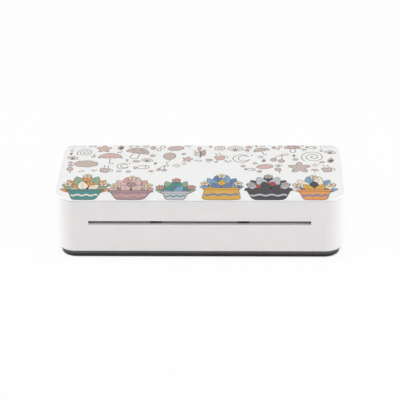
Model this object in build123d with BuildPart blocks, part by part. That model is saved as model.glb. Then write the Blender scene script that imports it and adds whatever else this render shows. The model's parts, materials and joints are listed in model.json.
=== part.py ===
"""Portable A4 thermal printer: a white body and lid on a dark base tray.

Front is -Y, right is +X, up is +Z, all in millimetres.
The origin is the middle of the footprint, on the surface that the feet stand on.
"""

import math
import os

from build123d import *

# ---- overall form
width = 280.0  # body at its lower edge
depth = 117.0
height = 66.0
corner = 19.7  # plan corner radius at the lower edge
draft = 1.216  # draft of the sides, degrees
wall = 2.4
body_low = 8.9  # lower edge of the white body
rim = 63.4  # upper edge of the body walls
lid_low = 63.6  # underside of the lid's plate
edge_round = 0.8
edge_break = 0.35  # small bevel where the lid meets the body
past_side = width / 2 + 1  # clear of the body's side, for cuts

# ---- base tray
tray_low = 0.8  # underside, held up by the feet
tray_floor = 4.2  # inner face of the floor
band_low = 5.4  # lower edge of the flared band under the body
band_inset = 2.6
band_reveal = 0.8  # the band's upper edge stands this far in from the body
plinth_inset = 4.8
plinth_taper = 8.0
plinth_wall = 1.0
tongue_wall = 1.5
tongue_high = 12.5
foot_radius = 6.0
foot_recess = 0.8
feet_at = (118.0, 38.0)
corner_screws = (131.0, 40.0)
middle_screws = (85.0, 50.5)
screw_seat = 5.0  # where the heads of the eight tray screws bear
boss_low = 11.0  # where the tray's pillars meet the body's bosses
boss_high = 24.0
boss_radius = 3.5

# ---- paper path
slot_half = 106.6  # half of the slot's width, for 210 mm paper
slot_low = 38.0
slot_high = 42.1
lip_back = -53.85  # rear face of the thickened lips
bowl_at = (24.0, 32.0)  # centre of the roll's bowl, in Y and Z
bowl_radius = 21.5
bin_wall = 1.7
bin_half = 108.0  # inner face of the bin's end walls
bin_end = 109.5
bin_tabs = ((-50.0, 45.0), (50.0, 45.0))
frame_in = 113.0  # inner face of the side frames
sheet = 1.5
roller_at = (-8.0, 38.0)
roller_radius = 3.0
guide_screws_at = ((-90.0, 34.9), (0.0, 34.9), (90.0, 34.9))

# ---- hinge
hinge = (51.5, 60.2)  # Y and Z of the lid's axis
barrel = 5.8
barrel_gap = 0.4
barrel_half = 119.3
ear_in = 119.6
ear_radius = 7.0
notch_radius = 7.3
pin_radius = 2.0
pin_end = 127.0
lug_in = 112.0
running = 0.05  # radial clearance of a running fit

# ---- platen and head
platen = (-38.0, 48.0)
platen_radius = 6.0
platen_half = 107.0
shaft_radius = 3.0
bush_radius = 5.0
arm_in = 109.5
arm_out = 112.5
head_pivot = (-24.0, 36.0)
pivot_radius = 1.5
head_top = 40.5
ceramic_top = 41.7

# ---- gear train on the left side
module = 0.8
teeth_platen = 20
teeth_idler = 24
teeth_small = 12
teeth_large = 30
teeth_motor = 10
idler = (-36.0, 30.41)
compound = (-23.1, 23.8)
motor = (-7.5, 19.8)
motor_radius = 9.0
motor_ear = 6.0  # the motor's two screws stand this far above and below its shaft
stud_radius = 1.5
plane_one = (-121.0, -116.0)
plane_two = (-127.0, -122.0)

# ---- side frames
frame_low = 6.2  # underside of the bent feet
frame_feet = ((-108.5, -24.0), (-108.5, -10.0), (108.5, -24.0), (108.5, -10.0))
tab_rows = (-42.0, -33.5)  # Y of the head bracket's two tabs
bracket_low = 25.8
bracket_high = 27.0

# ---- latch
latch = (-50.0, 30.0)
latch_radius = 2.0
hook_low = 43.4
hook_thick = 2.5
ledge_low = 41.2
ledge_high = 43.2
wedge_low = 18.8
wedge_high = 20.6

# ---- controls on the right side
power_at = (0.0, 36.0)
lamp_at = (11.0, 36.0)
usb_at = (23.0, 30.0)
release_at = (-28.0, 19.7)
board_x = 127.0
board_thick = 1.6


def inset_at(z):
    """How far the drafted side stands in from the lower outline."""
    return (z - body_low) * math.tan(math.radians(draft))


def outline(inset):
    """The body's lower outline, drawn in by an inset."""
    with BuildSketch() as flat:
        RectangleRounded(width - 2 * inset, depth - 2 * inset, corner - inset)
    return flat.sketch


def form(low, high, inset=0.0):
    """The body's outer form between two heights, drawn in by an inset."""
    with BuildPart() as block:
        with BuildSketch(Plane.XY.offset(low)):
            add(outline(inset_at(low) + inset))
        extrude(amount=high - low, taper=draft)
    return block.part


def across(x):
    """Sketch plane across the printer: its x is Y and its y is Z."""
    return Plane.YZ.offset(x)


def from_hinge(y, z):
    """A point given from the hinge axis."""
    return (hinge[0] + y, hinge[1] + z)


def finish(sub_part, name):
    """Label a finished piece and write its file."""
    sub_part.part.label = name
    export_step(sub_part.part, "parts/" + name + ".step")
    solids = len(sub_part.part.solids())
    print(name, solids, "solids" if solids > 1 else "solid")


# ---- gear teeth
pressure = math.radians(20)
addendum = 0.9 * module
dedendum = 1.25 * module
tooth_thinning = 0.04  # taken off each flank at the pitch circle, for backlash
root_fillet = 0.15
undercut_width = 0.10  # at the root of pinions with under 17 teeth
fewest_full_teeth = 17


def involute(angle):
    return math.tan(angle) - angle


def gear_points(teeth, phase):
    """Outline of an involute spur gear, with one tooth centred on the phase angle."""
    pitch_radius = module * teeth / 2
    base_radius = pitch_radius * math.cos(pressure)
    tip_radius = pitch_radius + addendum
    root_radius = pitch_radius - dedendum
    pitch_half = math.pi / (2 * teeth) - tooth_thinning / pitch_radius

    def half_angle(radius):
        if radius <= base_radius:
            return pitch_half + involute(pressure)
        return pitch_half + involute(pressure) - involute(math.acos(base_radius / radius))

    low_radius = max(base_radius, root_radius + root_fillet)
    flank = [low_radius, (low_radius + pitch_radius) / 2, pitch_radius]
    flank += [(pitch_radius + tip_radius) / 2, tip_radius]
    undercut = undercut_width / root_radius if teeth < fewest_full_teeth else 0.0
    sides = [(root_radius, half_angle(low_radius) - undercut)]
    sides += [(radius, half_angle(radius)) for radius in flank]
    points = []
    for tooth in range(teeth):
        middle = math.radians(phase) + 2 * math.pi * tooth / teeth
        for radius, half in sides:
            points.append((radius * math.cos(middle - half), radius * math.sin(middle - half)))
        for radius, half in reversed(sides):
            points.append((radius * math.cos(middle + half), radius * math.sin(middle + half)))
    return points


def heading(start, end):
    """Direction from one axis to another, in degrees."""
    return math.degrees(math.atan2(end[1] - start[1], end[0] - start[0]))


def meshing_phase(teeth, at, other_teeth, other_at, other_phase):
    """Phase that sets a tooth of one gear into a space of the other."""
    offset = (other_phase - heading(other_at, at)) * other_teeth / 360
    return heading(at, other_at) + (0.5 - offset) * 360 / teeth


def gear_body(at, teeth, phase, span):
    """A toothed disc on an axis along X, from one x to another."""
    with BuildPart() as disc:
        with BuildSketch(Plane(origin=(span[0], at[0], at[1]), x_dir=(0, 1, 0), z_dir=(1, 0, 0))):
            with BuildLine():
                Polyline(*gear_points(teeth, phase), close=True)
            make_face()
        extrude(amount=span[1] - span[0])
    return disc.part


# ---- shapes that many pieces are made from
def rod(at, radius, low, high):
    """A plain round bar on an axis along X."""
    with BuildPart() as bar:
        with BuildSketch(across(low)):
            with Locations(at):
                Circle(radius)
        extrude(amount=high - low)
    return bar.part


def boxed(low, high):
    """A block between two opposite corners."""
    size = [b - a for a, b in zip(low, high)]
    middle = [(a + b) / 2 for a, b in zip(low, high)]
    with BuildPart() as block:
        with Locations(tuple(middle)):
            Box(*size)
    return block.part


recess_width = 0.6
recess_depth = 0.7
recess_reach = 1.1  # length of the cross recess, as a share of the head's radius


def pan_screw(at, head_low, head_radius, head_high, shank_radius, shank_high):
    """A cross-head screw along Z; its head may be above or below its shank."""
    upward = shank_high > head_high
    with BuildPart() as screw:
        with BuildSketch(Plane.XY.offset(head_low)):
            with Locations(at):
                Circle(head_radius)
        extrude(amount=head_high - head_low)
        with BuildSketch(Plane.XY.offset(head_high if upward else shank_high)):
            with Locations(at):
                Circle(shank_radius)
        extrude(amount=shank_high - head_high if upward else head_low - shank_high)
        with BuildSketch(Plane.XY.offset(head_low if upward else head_high)):
            with Locations(at):
                Rectangle(head_radius * recess_reach, recess_width)
                Rectangle(recess_width, head_radius * recess_reach)
        extrude(amount=recess_depth if upward else -recess_depth, mode=Mode.SUBTRACT)
    return screw.part


os.makedirs("parts", exist_ok=True)
corner_bosses = [(sx * corner_screws[0], sy * corner_screws[1]) for sx in (-1, 1) for sy in (-1, 1)]
middle_bosses = [(sx * middle_screws[0], sy * middle_screws[1]) for sx in (-1, 1) for sy in (-1, 1)]
boss_points = corner_bosses + middle_bosses


# ---- body shell
pilot_radius = 1.5
pilot_depth = 10.0
gusset_thick = 1.6
gusset_low = tongue_high + 0.3
corner_gusset = (134.6, 7.4)  # middle and length of the gusset, across to the side wall
middle_gusset = (53.6, 6.2)
half_pipe = 8.0
low_fillet = 0.9
lip_front = -57.0
lip_low = 33.0
lip_tall = 15.0
lip_margin = 2.5
slot_fillet = 0.45
guide_pilot = 1.0
power_hole = 4.75
lamp_hole = 1.3
usb_hole = (10.0, 4.2)
release_hole = (12.5, 6.5)
release_hole_corner = 1.4
side_wall_in = 134.0

ear_form = form(46, height)
ear_foot = -14.2  # the ears run down this far from the hinge axis
ear_rear = 6.7
with BuildPart() as ears:
    for low, high in ((-past_side, -ear_in), (ear_in, past_side)):
        with BuildSketch(across(low)):
            with BuildLine():
                Line(from_hinge(4, ear_foot), from_hinge(-ear_radius, -6))
                Line(from_hinge(-ear_radius, -6), from_hinge(-ear_radius, 0))
                front_angle = math.degrees(math.asin(barrel / ear_radius))
                front = CenterArc(from_hinge(0, 0), ear_radius, 180, -front_angle)
                Line(front @ 1, from_hinge(0, barrel))
                CenterArc(from_hinge(0, 0), barrel, 90, -90)
                Line(from_hinge(barrel, 0), from_hinge(ear_rear, ear_foot))
                Line(from_hinge(ear_rear, ear_foot), from_hinge(4, ear_foot))
            make_face()
        extrude(amount=high - low)
    add(ear_form, mode=Mode.INTERSECT)

with BuildPart() as body_shell:
    add(form(body_low, rim))
    fillet(faces().sort_by(Axis.Z)[0].edges(), low_fillet)
    chamfer(faces().sort_by(Axis.Z)[-1].edges(), edge_break)
    add(form(body_low, rim, wall), mode=Mode.SUBTRACT)
    # thick lips above and below the paper slot
    with BuildSketch(Plane.XY.offset(lip_low)):
        with Locations((0, (lip_back + lip_front) / 2)):
            Rectangle(2 * (slot_half + lip_margin), lip_back - lip_front)
    extrude(amount=lip_tall)
    # screw bosses with gussets to the walls
    with BuildSketch(Plane.XY.offset(boss_low)):
        with Locations(*boss_points):
            Circle(boss_radius)
    extrude(amount=boss_high - boss_low)
    with BuildSketch(Plane.XY.offset(gusset_low)):
        for x, y in corner_bosses:
            with Locations((math.copysign(corner_gusset[0], x), y)):
                Rectangle(corner_gusset[1], gusset_thick)
        for x, y in middle_bosses:
            with Locations((x, math.copysign(middle_gusset[0], y))):
                Rectangle(gusset_thick, middle_gusset[1])
    extrude(amount=boss_high - gusset_low)
    with BuildSketch(Plane.XY.offset(boss_low)):
        with Locations(*boss_points):
            Circle(pilot_radius)
    extrude(amount=pilot_depth, mode=Mode.SUBTRACT)
    # half pipe under the lid's barrel, and the corner ears
    with BuildSketch(across(-ear_in - 2)):
        with Locations(hinge):
            Circle(half_pipe)
        with Locations(from_hinge(-1.6, -4.5)):
            Rectangle(13, 7, mode=Mode.INTERSECT)
    extrude(amount=2 * (ear_in + 2))
    add(ears.part)
    with BuildSketch(across(-ear_in)):
        with Locations(hinge):
            Circle(barrel + barrel_gap)
        with Locations(from_hinge(2.4, 5)):
            Rectangle(17.2, 10)
    extrude(amount=2 * ear_in, mode=Mode.SUBTRACT)
    for low, high in ((-pin_end - 0.2, -ear_in), (ear_in, pin_end + 0.2)):
        add(rod(hinge, pin_radius, low, high), mode=Mode.SUBTRACT)
    # paper slot
    with BuildSketch(Plane.XZ.offset(61)):
        with Locations((0, (slot_low + slot_high) / 2)):
            Rectangle(2 * slot_half, slot_high - slot_low)
    extrude(amount=-10, mode=Mode.SUBTRACT)
    slot_edges = edges().filter_by(Axis.X).filter_by_position(Axis.Z, slot_low - 0.1, slot_high + 0.1)
    fillet(slot_edges.filter_by_position(Axis.Y, -59, lip_front), slot_fillet)
    # screw holes behind the lower lip
    with BuildSketch(Plane.XZ.offset(-lip_back)):
        with Locations(*guide_screws_at):
            Circle(guide_pilot)
    extrude(amount=2.6, mode=Mode.SUBTRACT)
    # openings for the controls in the right wall
    with BuildSketch(across(side_wall_in)):
        with Locations(power_at):
            Circle(power_hole)
        with Locations(lamp_at):
            Circle(lamp_hole)
        with Locations(usb_at):
            SlotOverall(*usb_hole)
        with Locations(release_at):
            RectangleRounded(*release_hole, release_hole_corner)
    extrude(amount=8, mode=Mode.SUBTRACT)
finish(body_shell, "body_shell")


# ---- base tray
pillar_high = frame_low
post_high = tray_floor + 3
board_posts = ((9.0, -29.0), (91.0, -29.0), (9.0, -1.0), (91.0, -1.0))
side_posts = ((127.8, -5.0), (127.8, 27.5))
side_post_high = 20.0
slider_posts = ((120.0, -47.0), (120.0, -31.0))
floor_ribs = ((-40.0, -15.0), (-80.0, -15.0), (-120.0, 0.0), (115.5, 18.0))
rib_length = 34.0
rib_thick = 1.6
clearance_radius = 1.7
counterbore_radius = 3.1
pillar_pilot = 1.25

with BuildPart() as base_tray:
    # plinth, and the flared band above it
    with BuildSketch(Plane.XY.offset(tray_low)):
        add(outline(plinth_inset))
    extrude(amount=band_low - tray_low, taper=-plinth_taper)
    with BuildSketch(Plane.XY.offset(band_low)):
        add(outline(band_inset))
    flare = math.degrees(math.atan((band_inset - band_reveal) / (body_low - band_low)))
    extrude(amount=body_low - band_low, taper=-flare)
    # tongue that sets the body shell
    with BuildSketch(Plane.XY.offset(body_low)):
        add(outline(band_inset))
    extrude(amount=tongue_high - body_low)
    # hollow, narrower inside the plinth
    with BuildSketch(Plane.XY.offset(tray_floor)):
        add(outline(plinth_inset + plinth_wall))
    extrude(amount=20, mode=Mode.SUBTRACT)
    with BuildSketch(Plane.XY.offset(band_low + 1.2)):
        add(outline(band_inset + tongue_wall))
    extrude(amount=20, mode=Mode.SUBTRACT)
    # pillars: body screws, then the side frames' feet and the paper bin's tabs, then the main board
    with BuildSketch(Plane.XY.offset(tray_floor)):
        with Locations(*boss_points):
            Circle(boss_radius + 0.5)
    extrude(amount=boss_low - tray_floor)
    with BuildSketch(Plane.XY.offset(tray_floor)):
        with Locations(*frame_feet, *bin_tabs):
            Circle(3.5)
    extrude(amount=pillar_high - tray_floor)
    with BuildSketch(Plane.XY.offset(tray_floor)):
        with Locations(*board_posts):
            Circle(2.5)
    extrude(amount=post_high - tray_floor)
    # posts for the side board and the release slider
    with BuildSketch(Plane.XY.offset(tray_floor)):
        with Locations(*side_posts):
            Rectangle(5, 3)
    extrude(amount=side_post_high - tray_floor)
    with BuildSketch(Plane.XY.offset(tray_floor)):
        with Locations(*slider_posts):
            Rectangle(5, 2)
    extrude(amount=wedge_low - 0.1 - tray_floor)
    # stiffening ribs across the floor, clear of what stands on it
    with BuildSketch(Plane.XY.offset(tray_floor)):
        with Locations(*floor_ribs):
            Rectangle(rib_thick, rib_length)
    extrude(amount=2)
    # counterbored screw holes and the feet's recesses, from below
    with BuildSketch(Plane.XY.offset(tray_low)):
        with Locations(*boss_points):
            Circle(clearance_radius)
    extrude(amount=boss_low - tray_low, mode=Mode.SUBTRACT)
    with BuildSketch(Plane.XY.offset(tray_low)):
        with Locations(*boss_points):
            Circle(counterbore_radius)
    extrude(amount=screw_seat - tray_low, mode=Mode.SUBTRACT)
    with BuildSketch(Plane.XY.offset(tray_low)):
        with GridLocations(2 * feet_at[0], 2 * feet_at[1], 2, 2):
            Circle(foot_radius)
    extrude(amount=foot_recess, mode=Mode.SUBTRACT)
    # screw holes of the pillars
    with BuildSketch(Plane.XY.offset(3)):
        with Locations(*frame_feet, *bin_tabs):
            Circle(pillar_pilot)
    extrude(amount=10, mode=Mode.SUBTRACT)
finish(base_tray, "base_tray")

with BuildPart() as rubber_feet:
    with BuildSketch(Plane.XY):
        with GridLocations(2 * feet_at[0], 2 * feet_at[1], 2, 2):
            Circle(foot_radius)
    extrude(amount=tray_low + foot_recess)
    chamfer(edges().filter_by_position(Axis.Z, -0.1, 0.1), 0.5)
finish(rubber_feet, "rubber_feet")

with BuildPart() as base_screws:
    for point in boss_points:
        add(pan_screw(point, screw_seat - 1.8, 2.8, screw_seat, pilot_radius, 19.0))
finish(base_screws, "base_screws")


# ---- lid: cover, inner frame and their screws
lid_screw_points = [(-95, -20), (95, -20), (-95, 22), (95, 22)]
arm_spans = ((-arm_out, -arm_in), (arm_in, arm_out))
lid_boss_low = 61.8
lid_boss_radius = 3.0
rolled_end = -70.0  # where the rolled rear edge stops, in degrees about the hinge

with BuildPart() as top_cover:
    add(form(lid_low, height))
    chamfer(faces().sort_by(Axis.Z)[0].edges(), edge_break)
    fillet(faces().sort_by(Axis.Z)[-1].edges(), edge_round)
    with BuildSketch(across(-past_side)):
        with Locations((hinge[0] + 10, 65)):
            Rectangle(20, 10)
    extrude(amount=2 * past_side, mode=Mode.SUBTRACT)
    for low, high in ((-past_side, -barrel_half), (barrel_half, past_side)):
        add(rod(hinge, notch_radius, low, high), mode=Mode.SUBTRACT)
    # rolled rear edge about the hinge axis
    with BuildSketch(across(-barrel_half)):
        with BuildLine():
            CenterArc(from_hinge(0, 0), barrel, rolled_end, 90 - rolled_end)
            Line(from_hinge(0, barrel), from_hinge(0, barrel - wall))
            inner = CenterArc(from_hinge(0, 0), barrel - wall, 90, rolled_end - 90)
            tip = math.radians(rolled_end)
            Line(inner @ 1, from_hinge(barrel * math.cos(tip), barrel * math.sin(tip)))
        make_face()
    extrude(amount=2 * barrel_half)
    # hinge lugs
    for low, high in ((-barrel_half, -lug_in), (lug_in, barrel_half)):
        with BuildSketch(across(low)):
            with Locations(hinge):
                Circle(barrel)
            with Locations(from_hinge(-4.5, 2.5)):
                Rectangle(9, 4)
        extrude(amount=high - low)
    for low, high in ((-past_side, -lug_in), (lug_in, past_side)):
        add(rod(hinge, pin_radius + running, low, high), mode=Mode.SUBTRACT)
    # screw bosses
    with BuildSketch(Plane.XY.offset(lid_boss_low)):
        with Locations(*lid_screw_points):
            Circle(lid_boss_radius)
    extrude(amount=lid_low - lid_boss_low)
    with BuildSketch(Plane.XY.offset(lid_boss_low)):
        with Locations(*lid_screw_points):
            Circle(1.2)
    extrude(amount=3.2, mode=Mode.SUBTRACT)
finish(top_cover, "top_cover")

plate_low = 62.0
rib_low = 59.5
lid_rib = 1.4
frame_size = (260.0, 94.0)
frame_corner = 12.0
frame_middle = -5.0
frame_wall = 1.6
arm_reach = 6.4  # radius of the arm's end round the platen
arm_width = 12.4
with BuildPart() as lid_frame:
    with BuildSketch(Plane.XY.offset(plate_low)):
        with Locations((0, frame_middle)):
            RectangleRounded(*frame_size, frame_corner)
    extrude(amount=lid_low - plate_low)
    # perimeter rib and cross ribs
    with BuildSketch(Plane.XY.offset(rib_low)):
        with Locations((0, frame_middle)):
            RectangleRounded(*frame_size, frame_corner)
            inside = [side - 2 * frame_wall for side in frame_size]
            RectangleRounded(*inside, frame_corner - frame_wall, mode=Mode.SUBTRACT)
    extrude(amount=plate_low - rib_low)
    with BuildSketch(Plane.XY.offset(rib_low)):
        with Locations((0, -26), (0, 12)):
            Rectangle(frame_size[0] - 2, lid_rib)
        with Locations(*[(x, frame_middle) for x in (-120, -60, -20, 20, 60, 120)]):
            Rectangle(lid_rib, frame_size[1] - 2)
    extrude(amount=plate_low - rib_low)
    # screw pads
    pad_low = 60.2
    with BuildSketch(Plane.XY.offset(pad_low)):
        with Locations(*lid_screw_points):
            Circle(4.6)
    extrude(amount=plate_low - pad_low)
    with BuildSketch(Plane.XY.offset(lid_boss_low)):
        with Locations(*lid_screw_points):
            Circle(lid_boss_radius)
    extrude(amount=3, mode=Mode.SUBTRACT)
    with BuildSketch(Plane.XY.offset(60)):
        with Locations(*lid_screw_points):
            Circle(1.35)
    extrude(amount=3, mode=Mode.SUBTRACT)
    # bearing arms with the ledges that the hooks hold
    for low, high in arm_spans:
        with BuildSketch(across(low)):
            with Locations(platen):
                Circle(arm_reach)
            with Locations((platen[0], (platen[1] + plate_low) / 2)):
                Rectangle(arm_width, plate_low - platen[1])
            with Locations((-42.3, (ledge_low + ledge_high) / 2)):
                Rectangle(8.6, ledge_high - ledge_low)
            with BuildLine():
                Polyline((-31.9, 56), (-24, plate_low), (-32, plate_low), close=True)
            make_face()
        extrude(amount=high - low)
        add(rod(platen, bush_radius, low, high), mode=Mode.SUBTRACT)
finish(lid_frame, "lid_frame")

with BuildPart() as lid_screws:
    for point in lid_screw_points:
        add(pan_screw(point, pad_low - 1.5, 2.3, pad_low, 1.2, 64.8))
finish(lid_screws, "lid_screws")

with BuildPart() as hinge_pins:
    for low, high in ((-pin_end, -lug_in - 1), (lug_in + 1, pin_end)):
        add(rod(hinge, pin_radius, low, high))
    chamfer(edges().filter_by(GeomType.CIRCLE), 0.3)
finish(hinge_pins, "hinge_pins")


# ---- platen assembly, carried by the lid's arms
flat_at = 2.5  # distance of the gear's drive flat from the shaft's axis
with BuildPart() as platen_shaft:
    add(rod(platen, shaft_radius, plane_one[0] - 1, 117.0))
    # flat for the gear
    add(
        boxed((-123, platen[0] + flat_at, 40), (-115.8, platen[0] + flat_at + 1.5, 56)),
        mode=Mode.SUBTRACT,
    )
    chamfer(faces().sort_by(Axis.X)[-1].edges(), 0.4)
finish(platen_shaft, "platen_shaft")

with BuildPart() as platen_rubber:
    add(rod(platen, platen_radius, -platen_half, platen_half))
    add(rod(platen, shaft_radius, -platen_half, platen_half), mode=Mode.SUBTRACT)
    outer_rims = edges().filter_by(GeomType.CIRCLE).sort_by(SortBy.RADIUS)[-2:]
    chamfer(outer_rims, 0.4)
finish(platen_rubber, "platen_rubber")

platen_phase = heading(platen, idler) + 180 / teeth_platen
with BuildPart() as platen_gear:
    add(gear_body(platen, teeth_platen, platen_phase, plane_one))
    with BuildSketch(across(plane_one[0])):
        with Locations(platen):
            Circle(shaft_radius)
        with Locations((platen[0] + flat_at + 2, platen[1])):
            Rectangle(4, 8, mode=Mode.SUBTRACT)
    extrude(amount=plane_one[1] - plane_one[0], mode=Mode.SUBTRACT)
finish(platen_gear, "platen_gear")

with BuildPart() as platen_bushes:
    for low, high, flange in ((-arm_out, -arm_in, -arm_in), (arm_in, arm_out, arm_in - 1)):
        add(rod(platen, bush_radius, low, high))
        add(rod(platen, bush_radius + 1, flange, flange + 1))
        add(rod(platen, shaft_radius + running, low - 2, high + 2), mode=Mode.SUBTRACT)
finish(platen_bushes, "platen_bushes")


# ---- gear train between the motor and the platen
idler_phase = meshing_phase(teeth_idler, idler, teeth_platen, platen, platen_phase)
small_phase = meshing_phase(teeth_small, compound, teeth_idler, idler, idler_phase)
large_phase = heading(compound, motor) + 180 / teeth_large
motor_phase = meshing_phase(teeth_motor, motor, teeth_large, compound, large_phase)
idler_web = (3.2, 7.6)  # inner and outer radius of the thinned web
compound_web = (4.0, 10.0)
motor_shaft_radius = 1.0

with BuildPart() as idler_gear:
    add(gear_body(idler, teeth_idler, idler_phase, plane_one))
    # thinned web with six round windows
    with BuildSketch(across(plane_one[0])):
        with Locations(idler):
            Circle(idler_web[1])
            Circle(idler_web[0], mode=Mode.SUBTRACT)
    extrude(amount=1.5, mode=Mode.SUBTRACT)
    with BuildSketch(across(plane_one[0])):
        with Locations(idler):
            with PolarLocations((idler_web[0] + idler_web[1]) / 2, 6):
                Circle(1.3)
    extrude(amount=6, mode=Mode.SUBTRACT)
    add(rod(idler, stud_radius + running, -122, -115), mode=Mode.SUBTRACT)
finish(idler_gear, "idler_gear")

with BuildPart() as compound_gear:
    add(gear_body(compound, teeth_small, small_phase, (plane_two[1], plane_one[1])))
    add(gear_body(compound, teeth_large, large_phase, plane_two))
    with BuildSketch(across(plane_two[0])):
        with Locations(compound):
            Circle(compound_web[1])
            Circle(compound_web[0], mode=Mode.SUBTRACT)
    extrude(amount=1.8, mode=Mode.SUBTRACT)
    add(rod(compound, stud_radius + running, -128, -115), mode=Mode.SUBTRACT)
finish(compound_gear, "compound_gear")

shoulder = -115.8  # where the studs' shoulders stop, just short of the gears


def stud(at, head):
    """Riveted stud with a shoulder and a retaining head at the given x."""
    with BuildPart() as made:
        add(rod(at, 2.2, -frame_in, -frame_in + 0.4))
        add(rod(at, stud_radius, head, -frame_in))
        add(rod(at, 2.5, shoulder, -frame_in - sheet))
        add(rod(at, 2.4, head - 0.4, head))
    return made


finish(stud(idler, plane_one[0] - 0.3), "idler_stud")
finish(stud(compound, plane_two[0] - 0.3), "compound_stud")

with BuildPart() as motor_pinion:
    add(gear_body(motor, teeth_motor, motor_phase, plane_two))
    add(rod(motor, 2.5, plane_two[1], plane_two[1] + 2))
    add(rod(motor, motor_shaft_radius, -128, -119), mode=Mode.SUBTRACT)
finish(motor_pinion, "motor_pinion")

with BuildPart() as motor_shaft:
    add(rod(motor, motor_shaft_radius, plane_two[0] - 0.5, -93))
finish(motor_shaft, "motor_shaft")

with BuildPart() as motor_can:
    add(rod(motor, motor_radius, -frame_in, -95))
    chamfer(faces().sort_by(Axis.X)[-1].edges(), 0.8)
    with BuildSketch(across(-frame_in)):
        with Locations(motor):
            with PolarLocations(8, 2):
                Circle(3.2)
            Circle(motor_radius, mode=Mode.INTERSECT)
    extrude(amount=1)
    add(rod(motor, 3.0, -frame_in - sheet, -93.8))
    add(rod(motor, motor_shaft_radius + running, -120, -90), mode=Mode.SUBTRACT)
finish(motor_can, "motor_can")


# ---- side frames
shaft_slot = (8.1, 7.0)  # open slot that the platen's bearing end drops into
foot_reach = 9.0


def side_frame(low, left):
    """Steel side plate with the shaft's open slot, bearing holes and a bent foot."""
    foot_from = low if left else low - foot_reach
    feet = frame_feet[:2] if left else frame_feet[2:]
    with BuildPart() as plate:
        with BuildSketch(across(low)):
            with BuildLine():
                Polyline(
                    (-45, frame_low), (2, frame_low), (2, 31), (-4, 43), (-20, 46), (-27, 52),
                    (-46, 52), (-46, 34.6), (-53.4, 34.6), (-53.4, 27), (-45, 25.2), close=True,
                )
            make_face()
            with Locations(platen):
                Circle(3.6, mode=Mode.SUBTRACT)
            with Locations((platen[0] - 0.45, 51.5)):
                Rectangle(*shaft_slot, mode=Mode.SUBTRACT)
            with Locations(latch):
                Circle(latch_radius + running, mode=Mode.SUBTRACT)
            with Locations(head_pivot, roller_at):
                Circle(pivot_radius + running, mode=Mode.SUBTRACT)
            with Locations(*[(y, (bracket_low + bracket_high) / 2) for y in tab_rows]):
                Rectangle(5, bracket_high - bracket_low, mode=Mode.SUBTRACT)
            if left:
                with Locations(idler, compound):
                    Circle(stud_radius, mode=Mode.SUBTRACT)
                with Locations(motor):
                    Circle(3.0, mode=Mode.SUBTRACT)
                with Locations((motor[0], motor[1] + motor_ear), (motor[0], motor[1] - motor_ear)):
                    Circle(1.0, mode=Mode.SUBTRACT)
            else:
                with Locations((-20, 20)):
                    Circle(7, mode=Mode.SUBTRACT)
        extrude(amount=sheet)
        add(boxed((foot_from, -30, frame_low), (foot_from + foot_reach + sheet, -4, frame_low + sheet)))
        with BuildSketch(Plane.XY.offset(6)):
            with Locations(*feet):
                Circle(1.6)
        extrude(amount=4, mode=Mode.SUBTRACT)
        bend = edges().filter_by(Axis.Y).filter_by_position(Axis.Z, frame_low - 0.1, frame_low + 0.1)
        corner_line = bend.sort_by(Axis.X)[0 if left else -1]
        fillet(corner_line, 1.4)
    return plate


finish(side_frame(-frame_in - sheet, True), "side_frame_left")
finish(side_frame(frame_in, False), "side_frame_right")

with BuildPart() as frame_screws:
    for point in frame_feet:
        add(pan_screw(point, frame_low + sheet, 2.6, frame_low + sheet + 1.6, pillar_pilot, 3.4))
    for side in (-motor_ear, motor_ear):
        add(rod((motor[0], motor[1] + side), 1.0, -frame_in - sheet - 0.1, -frame_in))
        add(rod((motor[0], motor[1] + side), 1.8, -116.0, -frame_in - sheet))
finish(frame_screws, "frame_screws")


# ---- print head
plate_thick = 2.0
fin_pitch = 3.3
first_fin = -45.4
head_lug = 8.0
head_back = -33.5  # where the ceramic ends and the board starts
with BuildPart() as head_heatsink:
    with BuildSketch(across(-bin_half)):
        with Locations((-34, head_top - plate_thick / 2)):
            Rectangle(24, plate_thick)
        with Locations(*[(first_fin + fin_pitch * fin, 37) for fin in range(5)]):
            Rectangle(1.2, 4)
    extrude(amount=2 * bin_half)
    for low in (-bin_half, bin_half - head_lug):
        with BuildSketch(across(low)):
            with Locations(head_pivot):
                Circle(3.0)
            with Locations((head_pivot[0] - 0.5, 38)):
                Rectangle(5, 4)
        extrude(amount=head_lug)
        add(rod(head_pivot, pivot_radius, low, low + head_lug), mode=Mode.SUBTRACT)
finish(head_heatsink, "head_heatsink")

with BuildPart() as head_ceramic:
    add(boxed((-slot_half, -44, head_top), (slot_half, head_back, ceramic_top)))
    top_rims = faces().sort_by(Axis.Z)[-1].edges().filter_by(Axis.X)
    chamfer(top_rims, 0.4)
finish(head_ceramic, "head_ceramic")

head_board_thick = 0.8
with BuildPart() as head_board:
    add(boxed((-100, head_back, head_top), (100, -24.5, head_top + head_board_thick)))
    # row of nine driver chips
    with BuildSketch(Plane.XY.offset(head_top + head_board_thick)):
        with Locations((0, -30)):
            with GridLocations(22, 1, 9, 1):
                Rectangle(12, 3)
    extrude(amount=0.4)
finish(head_board, "head_board")

pivot_length = 14.3
with BuildPart() as head_pivot_pins:
    for low in (-frame_in - 1.3, frame_in + 1.3 - pivot_length):
        add(rod(head_pivot, pivot_radius, low, low + pivot_length))
    chamfer(edges().filter_by(GeomType.CIRCLE), 0.2)
finish(head_pivot_pins, "head_pivot_pins")

with BuildPart() as head_bracket:
    add(boxed((-frame_in, -45, bracket_low), (frame_in, -31, bracket_high)))
    add(boxed((-104, -45, bracket_low - 1.5), (104, -43.8, bracket_low)))
    for x in (-frame_in - sheet, frame_in):
        for y in tab_rows:
            add(boxed((x, y - 2.5, bracket_low), (x + sheet, y + 2.5, bracket_high)))
finish(head_bracket, "head_bracket")

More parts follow.
